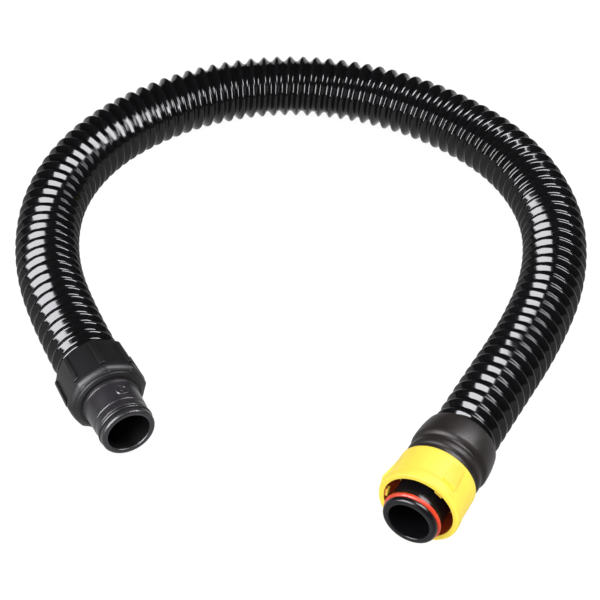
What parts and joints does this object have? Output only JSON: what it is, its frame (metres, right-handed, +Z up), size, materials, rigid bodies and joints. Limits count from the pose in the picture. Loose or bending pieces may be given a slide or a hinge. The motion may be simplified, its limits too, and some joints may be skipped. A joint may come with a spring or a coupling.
{
  "type": "breathing hose",
  "caption": "Flexible corrugated breathing hose in an open loop, with a swivelling push-in spigot at one end and a captive bayonet coupling ring at the other.",
  "frame": {"origin": "on the surface the hose lies on, at the middle of the box around the two end fittings", "axes": "+Z up; +X from the hood end to the blower end; +Y towards the far side of the hose's loop"},
  "size_m": [0.3583, 0.4211, 0.0504],
  "materials": {
    "hose_rubber": "glossy black",
    "sleeve_plastic": "satin",
    "collar_plastic": "satin moulded black",
    "spigot_plastic": "satin moulded black",
    "connector_plastic": "glossy moulded black",
    "washer_plastic": "natural acetal",
    "black_seal": "smooth",
    "red_seal": "smooth silicone",
    "cuff_rubber": "satin soft rubber",
    "clamp_steel": "brushed stainless",
    "retainer_steel": "spring steel",
    "coupling_yellow": "smooth yellow moulding"
  },
  "bodies": {
    "hose_assembly": {"hose": "hose_rubber", "hose_sleeve": "sleeve_plastic", "hood_collar": "collar_plastic", "hood_slip_washer": "washer_plastic", "blower_connector": "connector_plastic", "blower_cuff": "cuff_rubber", "hose_clamp": "clamp_steel", "blower_seal": "red_seal", "coupling_slip_washer": "washer_plastic", "coupling_retainer": "retainer_steel"},
    "swivel_spigot": {"hood_spigot": "spigot_plastic", "swivel_seal": "black_seal", "nose_seal": "black_seal"},
    "coupling": {"coupling_ring": "coupling_yellow"}
  },
  "joints": [
    {"name": "spigot_swivel", "type": "hinge", "parent": "hose_assembly", "child": "swivel_spigot", "pos_m": [-0.09479, 0.03619, 0.0252], "axis": [0.4343, -0.9008, 0], "continuous": true},
    {"name": "coupling_turn", "type": "hinge", "parent": "hose_assembly", "child": "coupling", "pos_m": [0.09215, -0.03185, 0.0252], "axis": [-0.4671, -0.8842, 0], "continuous": true}
  ]
}
